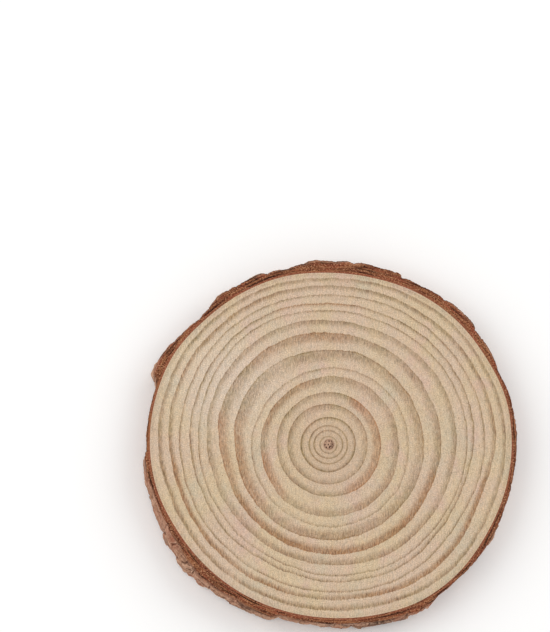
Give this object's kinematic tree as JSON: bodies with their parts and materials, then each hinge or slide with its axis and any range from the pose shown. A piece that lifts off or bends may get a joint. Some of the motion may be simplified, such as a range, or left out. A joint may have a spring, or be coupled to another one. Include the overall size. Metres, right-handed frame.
{
  "type": "wood slice",
  "caption": "Thin round slice sawn across a pine branch: pale wood with wide growth rings round an off-centre pith, in a rim of flaky red-brown bark left on.",
  "frame": {"origin": "on the back sawn face, under the middle of the slice's outline", "axes": "+Z out of the sawn face that is up, through the 10 mm thickness; +Y towards the side where the bark is thickest; +X to the right of that when looking down on the face"},
  "size_m": [0.1004, 0.0996, 0.01],
  "materials": {
    "sawn_pine": "sawn and lightly sanded end grain, bare and matt, cream early wood with tan late-wood rings",
    "pine_bark": "rough flaky bark, matt, red-brown to grey-brown with pinkish flaked edges"
  },
  "bodies": {
    "root": {"wood_disc": "sawn_pine", "bark_ring": "pine_bark"}
  },
  "joints": []
}
